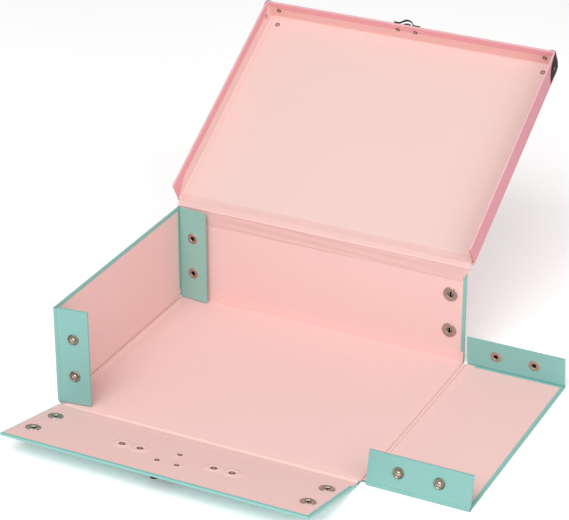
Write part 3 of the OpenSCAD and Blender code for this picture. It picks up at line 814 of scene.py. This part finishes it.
# ---------------------------------------------------------------- metal corners of the lid
def corner_shell(R=21.0, r=2.6, th=0.34):
    """Three quarter discs bent from one sheet, with a rounded point. Corner at the origin, box towards -x, -y, -z."""
    nr, na = 22, 36

    v, f = [], []
    for lay, (off, Rr) in enumerate(((th, R), (0.02, R - 0.25))):
        for j in range(nr + 1):
            rho = (Rr + off) * (j / nr) if j else 0.0
            for i in range(na):
                th_ = 270.0 * i / (na - 1)
                sct = min(int(th_ // 90), 2)
                ph = math.radians(th_ - 90 * sct)
                e = [off, off, off]
                axes = ((0, 1), (1, 2), (2, 0))[sct]
                e[axes[0]] = off - rho * math.cos(ph)
                e[axes[1]] = off - rho * math.sin(ph)
                third = 3 - axes[0] - axes[1]
                e[third] = off
                rr = r + 3.0 * max(1 - rho / 7.0, 0.0)
                rr = rr if lay == 0 else rr - th
                q = [min(c_, off - rr) for c_ in e]
                d = Vector([e[k] - q[k] for k in range(3)])
                v.append(tuple(Vector(q) + d * (rr / d.length)) if d.length > 1e-9 else tuple(e))
    n = na * (nr + 1)
    def q(l, j, i):
        return l * n + j * na + i
    for l in (0, 1):
        for j in range(nr):
            for i in range(na - 1):
                f.append((q(l, j, i), q(l, j + 1, i), q(l, j + 1, i + 1), q(l, j, i + 1)) if l == 0 else (q(l, j, i), q(l, j, i + 1), q(l, j + 1, i + 1), q(l, j + 1, i)))
    for i in range(na - 1):
        f.append((q(0, nr, i), q(1, nr, i), q(1, nr, i + 1), q(0, nr, i + 1)))
    for i in (0, na - 1):
        for j in range(nr):
            f.append((q(0, j, i), q(0, j + 1, i), q(1, j + 1, i), q(1, j, i)))
    return v, f


HEADP = [(0, 0.95), (0.6, 0.92), (1.2, 0.76), (1.7, 0.46), (2.05, 0.10), (2.1, -0.1), (2.0, -0.12), (0, -0.12)]


def tail(n0=0.0, k=1.0):
    """Rolled tail of a tubular rivet: a thin split ring with a hollow middle."""
    return ring_lathe([(1.3 * k, n0 - 0.2), (1.34 * k, n0 + 0.26), (1.5 * k, n0 + 0.44), (1.7 * k, n0 + 0.44), (1.93 * k, n0 + 0.28), (2.08 * k, n0 + 0.03), (2.05 * k, n0 - 0.05), (1.35 * k, n0 - 0.25)], 28)


# light pinkish disc in the tail's hollow middle, in its own material: painted reflection
def tail_core(n0=0.0, k=1.0):
    return lathe([(0, n0 + 0.20), (0.6 * k, n0 + 0.19), (1.05 * k, n0 + 0.12), (1.36 * k, n0 + 0.02), (1.3 * k, n0 - 0.2), (0, n0 - 0.2)], 20)


def rivet_shells(P, M, length, seat, km=0, kc=1, k=1.0):
    """Rivet along +z: domed head below the sheet, rolled tail above it."""
    P.add(lathe([(r, -z - seat) for r, z in HEADP][::-1], 28), M, km)
    P.add(tail(length, k), M, km)
    P.add(tail_core(length, k), M, kc)


corner_metal = Part()
cr = Part()
for k in (1, -1):
    # corner frame: x out past the side, y out past the front side, z out past the panel's outer face
    Mc = AT_LID @ tr(k * LH, OUTU, O) @ Matrix(((k, 0, 0, 0), (0, 1, 0, 0), (0, 0, -1, 0), (0, 0, 0, 1)))
    corner_metal.add(corner_shell(), Mc)
    rivet_shells(cr, AT_LID @ tr(k * (LH - RIVC), OUTU - RIVC, O), T + 0.05, 0.7)
    rivet_shells(cr, AT_LID @ tr(k * (LH - RIVC), OUTU, RIVN) @ rx(90), T + 0.05, 0.7)
    rivet_shells(cr, AT_LID @ tr(k * LH, OUTU - RIVC, RIVN) @ ry(-k * 90), BT + 0.03, 0.7)
corner_metal.make("lid_metal_corners", BRONZE, body="lid", slot="dark_bronze", replaces=("lid_corners",))
cr.make("lid_corner_rivet_metal", [RIVET, RIVET_CORE_REFLECTION], body="lid", slot="rivet_metal", replaces=("lid_corner_rivets",))

# ---------------------------------------------------------------- lid catch
P = Part()
prof = [(-12.4, 2.1), (-11.0, 1.95), (-8.5, 1.85), (-7.0, 2.1), (-5.4, 3.1), (-4.2, 4.1), (-2.5, 5.2), (-0.8, 5.8), (0.6, 5.75), (2.0, 5.3), (3.2, 4.5), (4.2, 3.5), (5.0, 2.4), (5.9, 1.8),
        (8.1, 1.4), (12.4, 1.35)]
L = curve2(prof, 4)
grid = []
for j, (nn, lift) in enumerate(((17.9, 0.0), (18.1, 0.10), (18.6, 0.14), (19.1, 0.10), (19.3, 0.0))):
    grid.append([(-LATX + x, OUTU + y + lift * (1 if abs(x) < 5 else 0.2) - 0.35, nn) for x, y in L])
P.add(shell(grid, 0.7), AT_LID)
# a sheet in the lighter nickel under the arch of the dark catch: painted highlight
inner_loop = curve2([(-5.6, 0.35), (-4.6, 0.9), (-3.6, 2.2), (-2.4, 3.1), (0, 3.55), (2.4, 3.1), (3.6, 2.2), (4.6, 0.9), (5.6, 0.35)], 4)
grid = []
for nn in (15.7, 16.2, 17.0, 17.6):
    grid.append([(-LATX + x, OUTU + y - 0.2, nn) for x, y in inner_loop])
P.add(shell(grid, 0.35), AT_LID, 1)
# foot plate under the strap, with rounded lobes round the rivets
for k in (-1, 1):
    P.add(lathe([(0, 0.72), (3.6, 0.70), (4.3, 0.5), (4.45, 0.05), (0, 0.02)], 36), AT_LID @ tr(-LATX + k * 8.3, OUTU, CATCHN + 0.6) @ rx(-90))
P.add(rbox((-LATX - 8.3, OUTU + 0.02, 10.4), (-LATX + 8.3, OUTU + 0.6, 15.9), 0.25, 2), AT_LID)
# curled lip on the shoulder of the strap, in the lighter nickel: painted highlight
lip = curve2([(-4.7, 4.3), (-4.3, 5.5), (-3.3, 6.35), (-2.1, 6.6), (-1.0, 6.0)], 4)
P.add(tube([(-LATX + x, OUTU + y, 18.8) for x, y in lip], 0.26, 8), AT_LID, 1)
P.make("lid_catch_metal", [BRONZE, NICKEL], body="lid", slot="dark_bronze", replaces=("lid_catch",))
P = Part()
for k in (-1, 1):
    rivet_shells(P, AT_LID @ tr(-LATX + k * 8.3, OUTU, CATCHN) @ rx(90), BT + 0.05, 0.7)
P.make("lid_catch_rivet_metal", [RIVET, RIVET_CORE_REFLECTION], body="lid", slot="rivet_metal", replaces=("lid_catch_rivets",))

# ---------------------------------------------------------------- press studs
SOCK_FACE = [(2.45, -0.1), (2.5, 0.35), (2.75, 0.62), (3.2, 0.55), (3.9, 0.46), (4.7, 0.52), (5.3, 0.80), (5.8, 0.86), (6.15, 0.66), (6.3, 0.25), (6.3, -0.02), (2.6, -0.12)]
CAP = [(0, -0.98), (1.6, -0.96), (3.2, -0.86), (4.4, -0.72), (5.2, -0.60), (5.8, -0.42), (6.15, -0.18), (6.25, 0.05), (5.9, 0.08), (0, 0.08)]


def socket(P, M):
    P.add(ring_lathe([(r, F2 + z) for r, z in SOCK_FACE], 44), M, 0)
    # near-black cup in the socket's hole: painted shade
    P.add(lathe([(0, F2 - 1.35), (2.52, F2 - 1.35), (2.55, F2 + 0.1), (2.42, F2 + 0.1), (2.38, F2 - 1.1), (0, F2 - 1.1)], 32), M, 2)
    for k in (-1, 1):
        P.add(tube([(k * 1.35, y, F2 + 0.05 - 0.25 * abs(y)) for y in (-1.95, -1.2, -0.4, 0.4, 1.2, 1.95)], 0.28, 8), M, 1)
    P.add(lathe([(r, O + z * 1.15) for r, z in CAP][::-1], 44), M, 6)


def stud(P, M):
    o_ = O
    # flange with a rolled rim and a well round the post, both in a darker copy of the nickel as painted shade, and a
    # round head in the plain snap nickel
    P.add(ring_lathe([(2.2, o_ - 0.3), (3.3, o_ - 0.34), (3.55, o_ - 0.52), (3.85, o_ - 0.80), (4.25, o_ - 0.84), (4.55, o_ - 0.55), (4.65, o_ - 0.1), (4.6, o_ + 0.05), (2.3, o_ + 0.05)], 44), M, 5)
    P.add(ring_lathe([(1.6, o_ - 0.34), (3.35, o_ - 0.36), (3.35, o_ - 0.05), (1.6, o_ - 0.05)], 36), M, 5)
    P.add(lathe([(0, o_ - 1.86), (0.7, o_ - 1.82), (1.3, o_ - 1.66), (1.8, o_ - 1.36), (2.05, o_ - 1.05), (1.95, o_ - 0.8), (1.78, o_ - 0.55), (1.8, o_ - 0.3), (1.8, o_), (0, o_)], 36), M, 0)
    # eyelet on the lining side
    P.add(ring_lathe([(2.05, F2 - 0.9), (2.0, F2 + 0.15), (2.25, F2 + 0.42), (2.8, F2 + 0.56), (3.7, F2 + 0.52), (4.5, F2 + 0.34), (4.85, F2 + 0.06), (4.8, F2 - 0.02), (2.3, F2 - 0.02), (2.3, F2 - 0.9)], 44), M, 4)
    # near-black cup in the eyelet's hole: painted shade
    P.add(lathe([(0, F2 - 1.3), (2.32, F2 - 1.3), (2.3, F2 - 0.2), (2.0, F2 - 0.2), (1.95, F2 - 1.1), (1.0, F2 - 1.12), (0, F2 - 1.1)], 32), M, 2)


SNAPMATS = [NICKEL, NICKEL_BRIGHT, SNAP_HOLE_SHADE, NICKEL_DARK, EYELET, STUD_NICKEL_SHADE, CAP_NICKEL]
for key, (side, S, end, lean) in FLAPS.items():
    P = Part()
    for s_ in SS:
        stud(P, at_flap(S, end, lean) @ tr(SNAPIN - FR_, end * s_, 0))
    P.make(key + "_stud_metal", SNAPMATS, body=key + "_flap", slot="snap_nickel", replaces=(key + "_studs",))
for side, S in (("front", AT_FRONT), ("back", AT_BACK)):
    P = Part()
    for x in (-SX, SX):
        for s_ in SS:
            socket(P, S @ tr(x, s_, 0))
    P.make(side + "_socket_metal", SNAPMATS, body=side + "_wall", slot="snap_nickel", replaces=(side + "_wall_sockets",))

# ---------------------------------------------------------------- handle: rivets, dimples, rings, grip
P = Part()
for x in (-1, 1):
    for k in (-1, 1):
        rivet_shells(P, AT_FRONT @ tr(x * BRX + k * BRP / 2, HS, O), T + 0.12, 0.9, k=1.28)
P.make("handle_rivet_metal", [RIVET, RIVET_CORE_REFLECTION], body="front_wall", slot="rivet_metal", replaces=("handle_rivets",))
P = Part()
for x, s_ in ((LATX - LRX, LS1), (LATX + LRX, LS1), (LATX, LS0)):
    rivet_shells(P, AT_FRONT @ tr(x, s_, O), T + 0.05, 0.8)
P.make("latch_rivet_metal", [RIVET, RIVET_CORE_REFLECTION], body="front_wall", slot="rivet_metal", replaces=("latch_rivets",))


def dimple(cx, cy, half, h, rad, rim=4.9, low=2.3):
    """Low oval swelling of the lining round a pair of rivets, sinking where each rivet pulls it down."""
    grid = []
    nx, ny = 60, 30
    for j in range(ny + 1):
        y = lerp(-rad, rad, j / ny)
        row = []
        for i in range(nx + 1):
            x = lerp(-half - rad, half + rad, i / nx)
            dx = max(abs(x) - half, 0)
            z = 0.0
            for k in (-half, half):
                q = math.hypot(x - k, y)
                u_ = (rad - q) / (rad - rim) if q > rim else (q - low) / (rim - low)
                u_ = min(max(u_, 0), 1)
                z = max(z, h * u_ * u_ * (3 - 2 * u_))
            # keep the outline round
            if math.hypot(dx, y) > rad:
                s_ = rad / math.hypot(dx, y)
                x = (half + dx * s_) * (1 if x > 0 else -1)
                yy = y * s_
            else:
                yy = y
            row.append((cx + x, cy + yy, F2 - 0.1 + max(z, 0.0) + 0.0))
        grid.append(row)
    return shell(grid, -0.11)


P = Part()
for x in (-BRX, BRX):
    P.add(dimple(x, HS, BRP / 2, 0.75, 9.4), AT_FRONT)
for x, s_ in ((LATX - LRX, LS1), (LATX + LRX, LS1), (LATX, LS0)):
    P.add(dimple(x, s_, 0.0, 0.22, 6.4, 3.4, 1.8), AT_FRONT)
P.make("front_lining_dimples", PINK, body="front_wall", slot="lining_paper")

P = Part()
for x in (-BRX, BRX):
    path = []
    hw_, dr, rr = RINGH, RINGDROP, 1.6
    for (cx, cy, a0) in ((hw_ - rr, -rr, 90), (hw_ - rr, -dr + rr, 0), (-hw_ + rr, -dr + rr, -90), (-hw_ + rr, -rr, -180)):
        for k in range(6):
            a = math.radians(a0 - 90 * k / 5)
            path.append((cx + rr * math.cos(a), cy + rr * math.sin(a), 0))
    P.add(tube(path, RINGR, 14, closed=True), AT_FRONT @ tr(x, HS, O - RINGN))
P.make("handle_ring_metal", BRONZE, body="handle", slot="dark_bronze", replaces=("handle_rings",))

sag = 20.0 - RINGDROP
GR = (BRX * BRX + sag * sag) / (2 * sag)
GA = math.degrees(math.asin(BRX / GR)) + 5.9
P = Part()
v, f = [], []
NS, NC = 96, 28
cy = HS - 20.0 + GR


def grip_pt(deg, rho, z):
    a = math.radians(deg)
    return ((GR + rho) * math.sin(a), cy - (GR + rho) * math.cos(a), O - RINGN + z)


for j in range(NS + 1):
    t = j / NS
    deg = lerp(-GA, GA, t)
    endd = min(t, 1 - t) * 2 * math.radians(GA) * GR
    q = min(endd / 5.0, 1.0)
    w = max(math.sqrt(max(1 - (1 - q) ** 2, 0)), 0.03)
    for i in range(NC):
        a = 2 * math.pi * i / NC
        ca, sa = math.cos(a), math.sin(a)
        rho = 4.95 * w * math.copysign(abs(ca) ** 0.75, ca)
        zz = math.copysign(abs(sa) ** 0.8, sa) * 2.25 * (0.35 + 0.65 * w) * (0.62 + 0.38 * math.cos(min(abs(rho) / 4.95, 1) * math.pi / 2))
        v.append(grip_pt(deg, rho, zz))
for j in range(NS):
    for i in range(NC):
        l = (i + 1) % NC
        f.append((j * NC + i, j * NC + l, (j + 1) * NC + l, (j + 1) * NC + i))
f.append(tuple(range(NC))[::-1])
f.append(tuple(NS * NC + i for i in range(NC)))
P.add((v, f), AT_FRONT, 0)
step = math.degrees(2.9 / GR)
deg = -GA + 5
while deg < GA - 4.2:
    for rho in (-3.75, 3.75):
        for sgn in (-1, 1):
            z = sgn * 1.66
            P.add(tube([grip_pt(deg + step * q, rho, z + sgn * h) for q, h in ((0.0, -0.25), (0.12, 0.08), (0.3, 0.16), (0.48, 0.08), (0.6, -0.25))], 0.26, 6), AT_FRONT, 1)
    deg += step
P.make("handle_grip_leather", [LEATHER, THREAD], body="handle", slot="grip_leather", replaces=("handle_grip",))

# latch bolt: flat bar with a cross-ribbed button and a rounded nose
P = Part()
M = AT_FRONT @ tr(LATX, 0, O)
P.add(rbox((-2.9, 44, -5.7), (2.9, 64, -1.9), 0.35, 3), M)
grid = []
for j in range(13):
    x = lerp(-1, 1, j / 12)
    row = []
    for i in range(15):
        s_ = lerp(63.2, 80.9, i / 14)
        wl = 2.95 if s_ < 77.9 else 2.95 * math.sqrt(max(1 - ((s_ - 77.9) / 3.02) ** 2, 0.0004))
        row.append((x * wl, s_, -3.46))
    grid.append(row)
P.add(shell(grid, -1.0), M)
P.add(lathe([(0, 0.05), (3.1, 0.05), (3.2, -0.4), (3.15, -1.7), (2.8, -2.25), (2.0, -2.35), (0, -2.4)], 36), M @ tr(0, 46.2, -5.4))
for k in (-1.4, 0, 1.4):
    P.add(rbox((-2.2, 46.2 + k - 0.3, -7.95), (2.2, 46.2 + k + 0.3, -7.6), 0.12, 2), M)
P.make("latch_bolt_metal", BRONZE, body="latch_bolt", slot="dark_bronze", replaces=("latch_bolt",))

# ---------------------------------------------------------------- camera, floor, light
cam_data = bpy.data.cameras.new("camera")
cam = bpy.data.objects.new("camera", cam_data)
bpy.context.scene.collection.objects.link(cam)
bpy.context.scene.camera = cam
az, el, roll = math.radians(26.465), math.radians(27.141), math.radians(-0.101)
back = Vector((math.sin(az) * math.cos(el), -math.cos(az) * math.cos(el), math.sin(el)))
right = (-back).cross(Vector((0, 0, 1))).normalized()
up = right.cross(-back)
r2 = right * math.cos(roll) + up * math.sin(roll)
u2 = -right * math.sin(roll) + up * math.cos(roll)
cam.matrix_world = Matrix(((r2.x, u2.x, back.x, 0.7371), (r2.y, u2.y, back.y, -1.4446), (r2.z, u2.z, back.z, 0.9445), (0, 0, 0, 1)))
cam_data.sensor_width = 36.0
cam_data.lens = 2301.093 / 569 * 36
cam_data.clip_start, cam_data.clip_end = 0.05, 30

bm = bmesh.new()
bmesh.ops.create_grid(bm, x_segments=1, y_segments=1, size=6.0)
me = bpy.data.meshes.new("floor")
bm.to_mesh(me)
bm.free()
floor = bpy.data.objects.new("floor", me)
floor.location = (0, 0, -0.0002)
bpy.context.scene.collection.objects.link(floor)
fn = N("floor_pale")
fnoise = fn.noise(3, 2)
fn.set(spec=0.0)
fn.b.inputs["Emission Color"].default_value = (1.0, 1.0, 1.0, 1.0)
fn.b.inputs["Emission Strength"].default_value = 0.15
me.materials.append(fn.finish(fn.ramp(fnoise, [(0.3, (0.965, 0.965, 0.965, 1)), (0.7, (0.975, 0.975, 0.975, 1))]), fn.range(fnoise, 0, 1, 0.9, 0.97)))

world = bpy.data.worlds.new("studio")
bpy.context.scene.world = world
world.use_nodes = True
world.node_tree.nodes["Background"].inputs[0].default_value = (1.0, 0.995, 0.985, 1)
world.node_tree.nodes["Background"].inputs[1].default_value = 0.44


def area(name, loc, target, size, power, color=(1, 1, 1)):
    d = bpy.data.lights.new(name, "AREA")
    d.shape = "SQUARE"
    d.size = size
    d.energy = power
    d.color = color
    o = bpy.data.objects.new(name, d)
    bpy.context.scene.collection.objects.link(o)
    o.location = loc
    o.rotation_mode = "QUATERNION"
    o.rotation_quaternion = (Vector(loc) - Vector(target)).to_track_quat("Z", "Y")
    return o


area("key", (0.2, -1.7, 1.9), (0, 0, 0.05), 1.6, 37)
area("left", (-0.6, -1.2, 2.2), (0, 0, 0.05), 1.6, 12)
area("right", (1.8, -0.9, 1.2), (0, 0, 0.05), 1.8, 25)

bpy.context.scene.view_settings.view_transform = "Standard"
bpy.context.scene.view_settings.look = "None"

bpy.context.view_layer.update()
